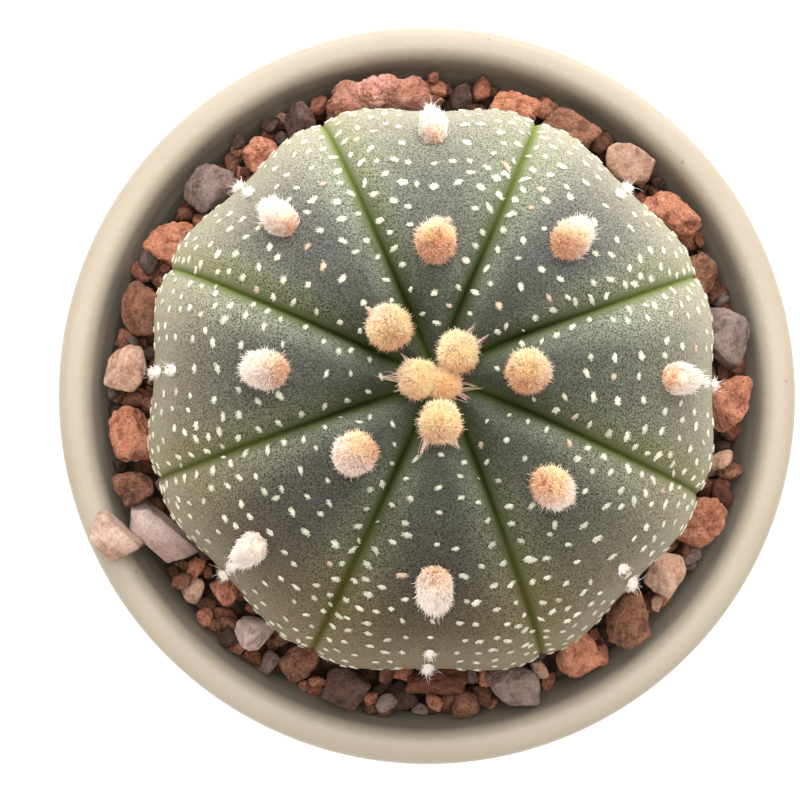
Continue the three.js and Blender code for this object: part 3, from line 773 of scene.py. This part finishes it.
class Cushion(Tuft):
    """The nth areole: a lumpy core, a dense coat of short fibres, and a few long stray hairs. The fibres of a
    young one stand out all round. Those of an old one are combed outwards into a brush."""

    def __init__(self, n):
        self.n, self.rng = n, np.random.default_rng(500 + n)
        on_dome = n < DOME_AREOLES
        grown = min(1, n / YOUNG_AREOLES) ** 0.6
        age = min(1, n / WORN_AREOLES)
        comb = float(smooth_step(age, 0.3, 0.85))
        width = 3.25 + 1.5 * grown - 2.0 * age
        length = width * (1 + (0.42 if on_dome else 0.3) * comb)
        tall = 2.0 + 0.9 * grown - 0.8 * age
        hair = 0.42 + (0.4 if on_dome else 0.25) * comb
        side = width / 2 - 0.75 * hair * (1 - 0.5 * comb)
        self.half = np.array([length / 2 - 0.55 * hair, side, tall - 0.7 * hair])
        self.shift = np.array([-0.3 * comb, 0, 0])
        self.pointed = 1.0 if on_dome else 0.35
        self.comb, self.width, self.tall, self.hair = comb, width, tall, hair
        super().__init__(areole_rib(n), AREOLE_DISTANCES[n] if n else 0.4, 0.16 * tall, lean=0.3 * comb)

    def colours(self, places):
        return wool_colours(self.n, places, self.lit_side(places), self.rng)

    def add_core(self):
        ball, triangles = BALLS[4]
        lumps = fractal(ball * 2.6 + self.n * 7.1, 1, Vector(), 1, 3)[:, None]
        under, _ = self.colours(ball)
        # The core is darker still: painted shade under the coat.
        self.add(ball * (0.94 + 0.12 * lumps) * self.half + self.shift, triangles, under * 0.85)

    def add_coat(self):
        """Short fibres in clumps, the tips of each clump drawn a little together."""
        n, rng, half, comb = self.n, self.rng, self.half, self.comb
        clumps = spread_directions(rng, COAT_CLUMPS, -0.45)
        clumps = unit(clumps + rng.normal(0, 0.04, clumps.shape))
        rises = np.array([noise.noise(Vector(d) * 1.9 + Vector((7.3 * n, 0, 0))) for d in clumps])[:, None]
        directions = spread_directions(rng, COAT_FIBRES, -0.4)
        nearest = np.argmax(directions @ clumps.T, axis=1)
        roots = directions * half * (0.92 + 0.2 * rises[nearest]) + self.shift
        along = DOWN_RIB - self.pointed * directions * (directions @ DOWN_RIB)[:, None]
        way = directions * (1 - 0.6 * comb) + 0.9 * comb * along
        way = unit(way + rng.normal(0, 0.5 - 0.3 * comb, directions.shape))
        outer = smooth_step(directions[:, :1], -0.6, 0.7)
        reach = self.hair * rng.lognormal(0, 0.3, (COAT_FIBRES, 1)) * (1 - 0.45 * comb * (1 - outer))
        gathered = (clumps[nearest] - directions) * half * 0.16
        gathered -= way * (gathered * way).sum(axis=1, keepdims=True) * 0.5
        tips = roots + way * reach + gathered
        bends = rng.normal(0, 0.17 * self.hair, tips.shape)
        under, upper = self.colours(directions)
        # Painted shade: the roots of the coat darkened further.
        under *= 0.7 if YOUNG_AREOLES <= n < DOME_AREOLES else 0.8
        thick = rng.uniform(0.045, 0.09, COAT_FIBRES)
        self.add_hairs(roots, tips, bends, thick, under, upper, segments=2)

    def add_strays(self):
        """Fine hairs that stand out of the coat."""
        rng, comb = self.rng, self.comb
        directions = spread_directions(rng, STRAY_HAIRS, -0.3)
        roots = directions * self.half * 0.95 + self.shift
        way = unit(directions + 1.5 * comb * DOWN_RIB + rng.normal(0, 0.5, directions.shape))
        tips = roots + way * self.hair * rng.uniform(1.2, 2.3, (STRAY_HAIRS, 1)) * (1 - 0.6 * comb)
        _, pale = self.colours(directions)
        pale = 0.5 * pale + 0.5 * PINK_WOOL
        # Their roots are darker than their tips: painted shade in the coat.
        self.add_hairs(roots, tips, rng.normal(0, 0.12, tips.shape), 0.035, pale * 0.8, pale, segments=4)

    def add_tails(self):
        """Long matted hairs that trail over the skin."""
        rng, low = self.rng, 0.3 - 0.16 * self.tall
        for heading, reach, hairs in TAILS.get(self.n, ()):
            flat = placed(1, math.radians(heading), 0)
            aside = np.array([-flat[1], flat[0], 0])
            roots = flat * (self.width / 2 - 0.7) + aside * rng.normal(0, 0.28, (hairs, 1))
            roots[:, 2] += low + 0.4
            curl = rng.uniform(-0.3, 0.3) * reach
            lengths = reach * rng.uniform(0.5, 1.05, (hairs, 1))
            sway = curl + rng.normal(0, 0.09, (hairs, 1))
            tips = flat * (self.width / 2 - 0.5 + lengths) + aside * sway + [0, 0, low]
            tips[:, 2] += rng.uniform(-0.05, 0.3, hairs)
            bends = aside * (rng.normal(0, 0.1, (hairs, 1)) - 0.5 * curl) + [0, 0, 0.15]
            stained, pale = (np.tile(colour, (hairs, 1)) for colour in (DEEP_WOOL * 0.75, PINK_WOOL * 0.85))
            self.add_hairs(roots, tips, bends, 0.065, stained, pale, segments=6)


def worn_wisp(tuft, rng):
    """What is left of an old areole: a small flat pad of felt, short hairs, and a few long ones."""
    ball, triangles = BALLS[3]
    felt = np.tile(WHITE_WOOL * 0.7 + DEEP_WOOL * 0.12, (len(ball), 1))
    tuft.add(ball * [0.42, 0.4, 0.24], triangles, felt)
    for count, hair, spread in ((130, 0.45, 0.6), (6, 1.25, 0.4)):
        directions = spread_directions(rng, count, -0.05)
        roots = directions * [0.38, 0.36, 0.2]
        way = directions * spread + [0.7, 0, 0.3] + rng.normal(0, 0.45, directions.shape)
        tips = roots + unit(way) * hair * rng.lognormal(0, 0.3, (count, 1))
        stained = rng.random((count, 1)) * 0.4
        colour = WHITE_WOOL * (1 - stained) + PINK_WOOL * stained
        bends = rng.normal(0, 0.16 * hair, tips.shape)
        # Painted shade: the hairs darker at their roots.
        tuft.add_hairs(roots, tips, bends, 0.05, colour * 0.8, colour, segments=4)


for n, walked in enumerate(AREOLE_DISTANCES):
    if n < WORN_AREOLES:
        tuft = Cushion(n)
        tuft.add_core()
        tuft.add_coat()
        tuft.add_strays()
        tuft.add_tails()
    else:
        tuft = Tuft(areole_rib(n), walked, 0.12)
        worn_wisp(tuft, np.random.default_rng(500 + n))
    cushion = tuft.piece(f"wool_{n + 1:02d}", "fresh_wool" if n < FRESH_AREOLES else "aged_wool")
    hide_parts(f"areole_{n + 1:02d}")

LOW_WOOL_STEP = 4.3
LOW_WOOL_END = 51.0
for rib in range(RIBS):
    walked = max(d for n, d in enumerate(AREOLE_DISTANCES) if areole_rib(n) == rib) + LOW_WOOL_STEP
    while walked < LOW_WOOL_END:
        tuft = Tuft(rib, walked, 0.1)
        worn_wisp(tuft, np.random.default_rng(int(1000 * walked) + rib))
        tuft.piece(f"wool_low_{rib}_{round(walked)}", "aged_wool")
        walked += LOW_WOOL_STEP

# ---- Flecks ----
# The white dots of the skin: tiny tufts of short hairs, each from one point. They stand in rows that leave
# the crest of a rib and bend towards its furrows, sparse on top and crowded at the sides.
CHEVRON_SPACING = 2.85
FLECK_WALKS = (5, 12, 20, 33)
FLECK_SIZES = (0.38, 0.47, 0.54, 0.43)
FLECK_HAIRS = 40
PAD_CORNERS = 16
WHITE_FLECK = dye(200, 200, 182)
PINK_FLECK = dye(190, 170, 150)
LAST_WALK = 53.0


def fleck_places(rib, rng):
    """Where the flecks of a rib are, as (across, walked), with none on an areole or on another fleck. They
    stand in chevrons: each starts on the crest, runs aside to a shoulder, and goes down the flank to the
    furrow's edge."""
    wool = [d for n, d in enumerate(AREOLE_DISTANCES) if areole_rib(n) == rib]
    wool += list(np.arange(wool[-1] + LOW_WOOL_STEP, LOW_WOOL_END, LOW_WOOL_STEP))
    tried = []
    for start in np.arange(4.6 + rng.uniform(0, 1.6), LAST_WALK, CHEVRON_SPACING):
        start += rng.normal(0, 0.25)
        tried.append((start, rng.normal(0, 0.12)))
        shoulder = 0.48 * rib_half_width(rib, start)
        for side in (-1, 1):
            gone = rng.uniform(0.35, 0.7) if shoulder > 2.6 else rng.uniform(1.1, 1.6)
            at_edge = 0
            while at_edge < 2 and start + gone < LAST_WALK:
                walked = start + gone
                aside = shoulder * (1 - math.exp(-gone / 0.6)) + 0.5 * gone
                edge = rib_half_width(rib, walked) - rng.uniform(0.75, 1.2)
                if aside > edge:
                    aside = edge
                    at_edge += 1
                tried.append((walked + rng.normal(0, 0.12), side * aside + rng.normal(0, 0.12)))
                if rng.random() < 0.12:
                    tried.append((walked + rng.uniform(0.95, 1.15), side * (aside + rng.uniform(-0.3, 0.3))))
                gone += 0.5 if gone < 0.7 else rng.uniform(1.7, 2.6)
    for side in (-1, 1):
        walked = rng.uniform(8, 11)
        while walked < LAST_WALK:
            tried.append((walked, side * (rib_half_width(rib, walked) - rng.uniform(0.4, 0.6))))
            walked += rng.uniform(2.0, 4.5) if walked < 22 else rng.uniform(1.7, 2.4)
    kept = []
    for walked, aside in tried:
        by_wool = any(math.hypot((walked - d) / 1.15, aside) < (2.5 if d < 28 else 1.2) for d in wool)
        apart = 1.7 if walked < 20 else 1.4
        crowded = any(
            math.hypot(walked - w, aside - a) < (1.0 if rng.random() < 0.15 else apart) for w, a in kept
        )
        half = rib_half_width(rib, walked)
        if not by_wool and not crowded and abs(aside) < half - 0.3 and walked < LAST_WALK:
            kept.append((walked, aside))
    return [(aside / rib_half_width(rib, walked), walked) for walked, aside in kept]


def fleck_pad(rng, size):
    """A low star-shaped pad of felt, a little sunk into the skin."""
    turn = np.linspace(0, 2 * np.pi, PAD_CORNERS, endpoint=False) + rng.uniform(0, 6)
    low_ring = placed(rng.uniform(0.65, 1.1, PAD_CORNERS) * size, turn, -0.06)
    top_ring = low_ring * [0.6, 0.6, 0] + [0, 0, 0.1 * rng.uniform(0.8, 1.3)]
    points = np.concatenate([[[0, 0, -0.12]], low_ring, top_ring, [[0, 0, 0.15]]])
    a = 1 + np.arange(PAD_CORNERS)
    b = 1 + (np.arange(PAD_CORNERS) + 1) % PAD_CORNERS
    faces = [
        (0 * a, b, a),
        (a, b, b + PAD_CORNERS),
        (a, b + PAD_CORNERS, a + PAD_CORNERS),
        (a + PAD_CORNERS, b + PAD_CORNERS, 0 * a + 2 * PAD_CORNERS + 1),
    ]
    return points, np.concatenate([np.stack(face, -1) for face in faces])


def turn_flat(yaw):
    return np.array([[math.cos(yaw), math.sin(yaw), 0], [-math.sin(yaw), math.cos(yaw), 0], [0, 0, 1]])


def fleck_tufts(rib, places, rng):
    """The flecks of one rib: each a low pad, and short hairs that lie out from it all round."""
    parts = []
    for across, walked in places:
        place, down, over, out = skin_frame(rib, across, walked)
        away = 0.5 - 0.5 * math.cos(math.atan2(place[1], place[0]) - math.radians(WINDOW_HEADING))
        size = rng.uniform(0.8, 1.15) * np.interp(walked, FLECK_WALKS, FLECK_SIZES) * (1 - 0.1 * away)
        stretch = np.array([rng.uniform(0.65, 0.95), rng.uniform(1.0, 1.5), 1.0])
        yaw = rng.normal(0, 0.5)
        from_furrow = rib_half_width(rib, walked) * (1 - abs(across))
        if from_furrow < 0.65:
            yaw = -math.copysign(0.7, across) + rng.normal(0, 0.2)
            stretch = np.array([0.5, 1.3, 1.0]) * (0.55 if walked < 18 else 1.0)
        pad = fleck_pad(rng, 0.88 * size)
        flat = placed(1, rng.uniform(0, 2 * np.pi, FLECK_HAIRS), 0)
        roots = flat * rng.uniform(0.3, 0.75, (FLECK_HAIRS, 1)) * size + [0, 0, 0.06]
        way = unit(flat + rng.normal(0, 0.6, flat.shape))
        tips = roots + way * rng.uniform(0.12, 0.34, (FLECK_HAIRS, 1)) * size
        tips[:, 2] = rng.uniform(0.03, 0.4, FLECK_HAIRS) * size
        local, faces = joined([pad, fibres(roots, tips, 0 * tips, 0.09, segments=1)])
        points = place + ((local * stretch) @ turn_flat(yaw)) @ np.stack([down, over, out])
        colour = WHITE_FLECK if rng.random() > 0.045 else PINK_FLECK
        # They are darker on the side turned from the window: painted shade.
        colour = colour * (1 + 0.3 * min(1, max(0, walked - 14) / 12)) * (1 - 0.25 * away)
        parts.append((points, faces, np.tile(colour * rng.uniform(0.7, 1.0), (len(points), 1))))
    return joined(parts)


fleck_hair = wool_finish("fleck_hair")
rng = np.random.default_rng(77)
for rib in range(RIBS):
    points, faces, colours = fleck_tufts(rib, fleck_places(rib, rng), rng)
    flecks = make_piece(f"flecks_rib_{rib + 1}", points, faces, fleck_hair, "aged_wool", smooth=False)
    colour_points(flecks, colours)

# ---- Top dressing ----
# Broken lava, pumice and baked clay, poured round the plant to keep its neck dry: loose grains of 1.5 to
# 4 mm, and larger lumps of 4 to 13 mm that lie on them. The lava is full of pits, and the chips are split
# slabs.


def hollowness(bumps):
    return np.clip(0.4 - 0.8 * bumps, 0, 1)


def cut_back(ball, normals, depths, sharp):
    """How far a unit ball's points lie from its middle once planes have cut it and their edges are worn."""
    facing = np.maximum(ball @ normals.T, 0) / depths
    return (facing**sharp).sum(axis=1) ** (-1 / sharp)


def roughened(rng, ball, radius, rough):
    """A unit lump of those radii with an uneven skin, and how far its skin stands out at each point."""
    bumps = fractal(ball, 2.1, Vector(rng.uniform(-50, 50, 3)), 0.8, 6)
    shape = ball * (radius * (1 + rough * bumps))[:, None]
    return shape / np.abs(shape).max(axis=0), bumps


def broken_lump(rng, level, cuts, sharp, rough):
    """A unit lump with broken faces: a ball cut by random planes, their edges worn, and its skin roughened.
    Returns its points, its triangles, and how hollow the surface is at each point."""
    ball, triangles = BALLS[level]
    normals = np.concatenate([unit(rng.normal(size=(cuts, 3))), np.eye(3), -np.eye(3)])
    depths = np.concatenate([rng.uniform(0.66, 0.98, cuts), np.full(6, 1.0)])
    shape, bumps = roughened(rng, ball, cut_back(ball, normals, depths, sharp), rough)
    return shape, triangles, hollowness(bumps)


def split_slab(rng):
    """A chip of a bedded stone: straight sides, slanting ends, and two top faces that meet in a ridge."""
    ball, triangles = BALLS[5]
    planes = np.array(
        [
            (1, 0.35, 0.1, 0.92), (-1, 0.28, -0.1, 0.94), (0, 1, -0.12, 0.86), (0, -1, 0.2, 0.9),
            (0.05, 0.3, 1, 0.74), (-0.04, -0.42, 1, 0.82), (0, 0, -1, 0.8), (0.9, -0.5, 0.4, 1.05),
        ]
    )
    shape, bumps = roughened(rng, ball, cut_back(ball, unit(planes[:, :3]), planes[:, 3], 30), 0.025)
    return shape, triangles, hollowness(0.7 * bumps)


def lava_cluster(rng, level, half, lumps):
    """A crumbly lump of lava: rounded knobs that have run together, with creases between them, and rough."""
    ball, triangles = BALLS[level]
    centres = rng.uniform(-1, 1, (lumps, 3)) * half * [0.8, 0.55, 0.55]
    sizes = rng.uniform(0.42, 0.8, lumps) * half[1]
    centres = np.concatenate([centres, [[0, 0, 0]]])
    sizes = np.append(sizes, 0.7 * half[1])
    toward = ball @ centres.T
    inside = toward**2 - (centres**2).sum(axis=1) + sizes**2
    exits = np.where(inside > 0, toward + np.sqrt(np.maximum(inside, 0)), 0)
    sharp = 14
    radius = (np.maximum(exits, 0.05) ** sharp).sum(axis=1) ** (1 / sharp)
    shift = Vector(rng.uniform(-50, 50, 3))
    surface = ball * radius[:, None]
    coarse = fractal(surface, 0.9, shift, 0.9, 3)
    fine = fractal(surface, 3.1, -shift, 0.7, 4)
    surface += ball * (0.36 * coarse + 0.2 * fine)[:, None]
    surface /= np.abs(surface).max(axis=0)
    return surface, triangles, hollowness(0.5 * coarse + 0.6 * fine)


def stone_finish(name, *tones, pits=0.0, size=1.6):
    """Rough broken stone: two tones in blotches with a tinge here and there, painted shade in its hollows,
    fine grit and, for lava, pits darkened with painted shade."""
    light, dark, tinge, grit_tone = (srgb(*tone) for tone in tones)
    finish = Finish(name, 0.88)
    mix, between = finish.mix, finish.between
    blotches = finish.noise(size, detail=6, roughness=0.6)
    colour = mix(between(blotches, 0.15, 0.8), dark, light)
    patch = between(finish.noise(3.1, detail=5, roughness=0.6), 0.34, 0.74, 0.0, 0.5)
    colour = mix(patch, colour, tinge)
    grit = finish.noise(0.34, detail=4, roughness=0.75)
    colour = mix(between(grit, 0.48, 0.72, 0.0, 0.5), colour, grit_tone)
    colour = mix(between(grit, 0.28, 0.5, 0.55, 0.0), colour, dark, how="MULTIPLY")
    # Painted shade: the hollows darkened.
    hollow = finish.carried("hollow")
    colour = mix(between(hollow, 0.3, 1.1, 0.0, 0.55), colour, dark, how="MULTIPLY")
    # The tint darkens a stone: by a random share for most, towards both ends for the lava, and towards the
    # side turned from the window for the chips, partly as painted shade.
    shade = finish.carried("tint")
    colour = mix(between(shade, 0, 1, 0.0, 0.65), colour, dark, how="MULTIPLY")
    surface = finish.bump(grit, 0.14)
    surface = finish.bump(blotches, 0.3, surface)
    if pits:
        holes = between(finish.cells(0.42), 0.1, 0.32)
        # Painted shade: the pits darkened.
        colour = mix(between(holes, 0, 1, 0.4, 0.0), colour, dark)
        surface = finish.bump(holes, pits, surface)
    return finish.set(Base_Color=colour, Normal=surface, Specular_IOR_Level=0.2)


STONE_FINISHES = {
    "red": stone_finish(
        "red_lava", (182, 124, 100), (122, 70, 52), (164, 104, 66), (208, 162, 140), pits=0.1
    ),
    "lava": stone_finish(
        "pink_lava", (192, 145, 134), (138, 84, 66), (170, 112, 74), (204, 166, 152), pits=0.14
    ),
    "brown": stone_finish("brown_lava", (132, 92, 72), (74, 48, 36), (138, 86, 62), (158, 122, 98), pits=0.1),
    "grey": stone_finish("mauve_stone", (140, 120, 114), (92, 76, 72), (124, 94, 84), (162, 146, 140)),
    "pale": stone_finish("pale_stone", (192, 160, 140), (150, 116, 98), (178, 130, 104), (210, 186, 168)),
    "dark": stone_finish("dark_stone", (90, 70, 64), (50, 37, 33), (98, 62, 52), (116, 94, 86)),
    "lilac": stone_finish(
        "lilac_stone", (196, 174, 168), (160, 136, 128), (172, 142, 130), (208, 190, 184), size=4
    ),
    "beige": stone_finish(
        "beige_stone", (208, 182, 168), (142, 112, 96), (176, 138, 116), (216, 196, 184), size=3
    ),
    "clay": stone_finish("baked_clay", (116, 72, 52), (66, 38, 28), (128, 70, 46), (140, 96, 72)),
}
STONE_SLOTS = {kind: kind + "_stone" for kind in STONE_FINISHES}
STONE_SLOTS.update(lava="red_stone", beige="pale_stone", clay="clay_lump")
PLACED_STONES = [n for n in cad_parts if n.split("_")[0] in STONE_FINISHES]
# Stones that are stretched (along, across and up) or moved a little from how the frame has them.
FITTED_STONES = {
    "lava_rock": ([1.06, 1.16, 1.0], [0, 0, 0]),
    "lilac_chip": ([1.16, 1.05, 1.0], [-0.8, 0.6, 0]),
    "red_stone_7": ([0.9, 0.85, 0.95], [0.9, 0.85, 0]),
}
STONE_FULLNESS = 1.04
STONE_SINKING = [0, 0, 0.4]


def lie_of(name):
    """How a placed stone of the frame lies: its centre, half sizes along, across and up, and its yaw."""
    low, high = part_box(name)
    corners = np.array([v.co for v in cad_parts[name].data.vertices]) / MM
    centre = (np.array(low) + np.array(high)) / 2 / MM
    flat = corners[:, :2] - centre[:2]
    _, axes = np.linalg.eigh(flat.T @ flat)
    long_way = axes[:, 1]
    along = np.ptp(flat @ long_way) / 2
    across = np.ptp(flat @ axes[:, 0]) / 2
    return centre, np.array([along, across, (high.z - low.z) / 2 / MM]), math.atan2(long_way[1], long_way[0])


def placed_stone(name):
    """A lump of the top dressing that the frame places, as a stone of its own kind and shape."""
    kind = name.split("_")[0]
    rng = np.random.default_rng(sum(map(ord, name)))
    centre, half, yaw = lie_of(name)
    if "chip" in name:
        shape, triangles, hollow = split_slab(rng)
    elif kind == "lava":
        shape, triangles, hollow = lava_cluster(rng, 6, half, 22)
    elif kind in ("red", "brown", "clay"):
        shape, triangles, hollow = broken_lump(rng, 5, 9, 9, 0.13)
    else:
        shape, triangles, hollow = broken_lump(rng, 5, 12, 14, 0.06)
    stretch, moved = FITTED_STONES.get(name, ([1, 1, 1], [0, 0, 0]))
    centre = centre + moved
    points = (shape * (half * stretch) * STONE_FULLNESS) @ turn_flat(yaw) + centre - STONE_SINKING
    stone = make_piece("stone_" + name, points, triangles, STONE_FINISHES[kind], STONE_SLOTS[kind])
    tint = np.full(len(points), rng.uniform(0, 0.4))
    if kind == "lava":
        tint = 0.62 * smooth_step(np.abs(points[:, 0] - centre[0]), 1.0, 4.0)
    elif "chip" in name:
        # A chip darkens towards -Y, the side turned from the window: partly painted shade, partly its own
        # browner end.
        tint = smooth_step(centre[1] - points[:, 1], -1.0, 2.6)
    carry(stone, "tint", tint)
    carry(stone, "hollow", hollow)
    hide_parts(name)


for name in PLACED_STONES:
    placed_stone(name)

GRAIN_KINDS = {"red": 0.3, "brown": 0.3, "dark": 0.16, "grey": 0.1, "pale": 0.08, "clay": 0.06}
MOST_GRAINS = 1500
MISSES_TO_STOP = 260
TRIES_FOR_A_GRAIN = 7
RING_INNER_RADIUS = 27.7
RING_OUTER_RADIUS = 36.6
GRAIN_FULLNESS = 1.06
MAP_CELL = 0.3
MAP_REACH = 38.0


def cells_under(centre, half, yaw):
    """The map's cells beneath a lump, and how far its surface is above or below its centre there."""
    reach = half[0] + MAP_CELL
    low = np.floor((centre[:2] - reach + MAP_REACH) / MAP_CELL).astype(int)
    high = np.ceil((centre[:2] + reach + MAP_REACH) / MAP_CELL).astype(int)
    ix, iy = np.meshgrid(np.arange(low[0], high[0]), np.arange(low[1], high[1]), indexing="ij")
    flat = np.stack([ix, iy], -1) * MAP_CELL - MAP_REACH - centre[:2]
    u = flat @ [math.cos(yaw), math.sin(yaw)] / half[0]
    v = flat @ [-math.sin(yaw), math.cos(yaw)] / half[1]
    q = u * u + v * v
    inside = q < 0.9
    return ix[inside], iy[inside], half[2] * np.sqrt(1 - q[inside])


def ground_map():
    """How high the mix and the placed stones that lie low reach, cell by cell."""
    cells = int(2 * MAP_REACH / MAP_CELL)
    ground = np.full((cells, cells), MIX_TOP + 0.3)
    for name in PLACED_STONES:
        centre, half, yaw = lie_of(name)
        if centre[2] - half[2] < GRAVEL_TOP + 2:
            ix, iy, rise = cells_under(centre, half * 0.9, yaw)
            ground[ix, iy] = np.maximum(ground[ix, iy], centre[2] + rise)
    return ground


def pour_grains():
    """Drops grains one by one into the ring between plant and pot, each to rest on what lies there. Returns
    each grain's kind, centre, half sizes and yaw."""
    rng = np.random.default_rng(2026)
    ground = ground_map()
    kinds, chances = list(GRAIN_KINDS), np.array(list(GRAIN_KINDS.values()))
    chances /= chances.sum()
    grains = []
    misses = 0
    while misses < MISSES_TO_STOP and len(grains) < MOST_GRAINS:
        size = rng.choice([rng.uniform(2.2, 3.6), rng.uniform(1.3, 2.3)])
        half = size / 2 * np.array([1, rng.uniform(0.7, 0.95), rng.uniform(0.55, 0.8)])
        inner, outer = RING_INNER_RADIUS + half[0], RING_OUTER_RADIUS - half[0]
        best = None
        for _ in range(TRIES_FOR_A_GRAIN):
            yaw = rng.uniform(0, np.pi)
            radius = math.sqrt(rng.uniform(inner**2, outer**2))
            heading = rng.uniform(0, 2 * np.pi)
            centre = np.array([radius * math.cos(heading), radius * math.sin(heading)])
            ix, iy, rise = cells_under(centre, half, yaw)
            rest = (ground[ix, iy] + rise).max()
            if best is None or rest < best[0]:
                best = (rest, centre, yaw, ix, iy, rise)
        rest, centre, yaw, ix, iy, rise = best
        if rest + half[2] > GRAVEL_TOP + rng.uniform(1.0, 2.6):
            misses += 1
            continue
        rest -= 0.18 * half[2]
        ground[ix, iy] = np.maximum(ground[ix, iy], rest + rise)
        grains.append((rng.choice(kinds, p=chances), np.array([*centre, rest]), half, yaw))
    return grains


def gravel():
    """The grains, each one of two dozen broken lumps turned and tipped, as a piece for each kind of stone."""
    rng = np.random.default_rng(31)
    lumps = [broken_lump(rng, 3, 9, 9, 0.1) for _ in range(24)]
    grains = pour_grains()
    for kind in GRAIN_KINDS:
        parts = []
        for _, centre, half, yaw in [grain for grain in grains if grain[0] == kind]:
            shape, triangles, hollow = lumps[rng.integers(len(lumps))]
            tip = Matrix.Rotation(rng.uniform(-0.5, 0.5), 3, "X")
            tip = tip @ Matrix.Rotation(rng.uniform(-0.4, 0.4), 3, "Y")
            points = (shape * half * GRAIN_FULLNESS) @ np.array(tip) @ turn_flat(yaw) + centre
            parts.append((points, triangles, np.full(len(shape), rng.uniform(0, 0.62)), hollow))
        points, faces, tints, hollows = joined(parts)
        piece = make_piece(f"gravel_{kind}", points, faces, STONE_FINISHES[kind], STONE_SLOTS[kind])
        carry(piece, "tint", tints)
        carry(piece, "hollow", hollows)
    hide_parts("gravel_bed")


gravel()

# ---- Studio ----
# A plain white table, one large soft light low at the back like a window, two weaker ones from the ceiling
# and the far wall, and a pale room. The camera looks almost straight down on the plant.


def floor():
    finish = Finish("white_table", 0.7)
    tone = finish.mix(finish.noise(60, detail=2), srgb(246, 246, 246), srgb(250, 250, 250))
    finish.set(Base_Color=tone, Emission_Color=(1, 1, 1, 1), Emission_Strength=0.3)
    half = 3.0
    mesh = bpy.data.meshes.new("table")
    corners = [(-half, -half, 0), (half, -half, 0), (half, half, 0), (-half, half, 0)]
    mesh.from_pydata(corners, [], [(0, 1, 2, 3)])
    mesh.materials.append(finish.material)
    table = add_object("table", mesh)


def soft_light(name, heading, elevation, away, width, tall, watts):
    """A rectangular lamp aimed at the plant, from a heading and elevation in degrees and metres away."""
    lamp = bpy.data.lights.new(name, "AREA")
    lamp.shape = "RECTANGLE"
    lamp.size = width
    lamp.size_y = tall
    lamp.energy = watts
    lit = add_object(name, lamp)
    turn, lift = math.radians(heading), math.radians(elevation)
    way = Vector((math.cos(turn) * math.cos(lift), math.sin(turn) * math.cos(lift), math.sin(lift)))
    lit.location = Vector((0, 0, WIDEST_HEIGHT * MM)) + way * away
    lit.rotation_euler = way.to_track_quat("Z", "Y").to_euler()


def camera():
    """The photo's view: from a hand's length above the plant, a little left of and below its axis, top of the
    picture to +Y."""
    eye = Vector((-8, -9, 271.5)) * MM
    forward = Vector((0.02421, 0.0412, -1)).normalized()
    back = -forward
    right = Vector((0, 1, 0)).cross(back).normalized()
    up = back.cross(right)
    view = bpy.data.cameras.new("camera")
    view.lens = 80.64
    view.sensor_width = 36
    view.clip_start = 0.01
    made = add_object("camera", view)
    made.matrix_world = Matrix((right, up, back)).transposed().to_4x4()
    made.location = eye
    bpy.context.scene.camera = made


floor()
soft_light("window", heading=WINDOW_HEADING, elevation=31, away=0.6, width=1.1, tall=0.34, watts=7.6)
soft_light("ceiling", heading=90, elevation=80, away=0.9, width=0.8, tall=0.8, watts=9.0)
soft_light("far_wall", heading=250, elevation=40, away=0.8, width=1.2, tall=0.8, watts=2.8)
camera()
world = bpy.data.worlds.new("pale_room")
world.use_nodes = True
world.node_tree.nodes["Background"].inputs["Color"].default_value = (1.0, 0.93, 0.82, 1)
world.node_tree.nodes["Background"].inputs["Strength"].default_value = 0.62
bpy.context.scene.world = world
bpy.context.scene.view_settings.view_transform = "Standard"
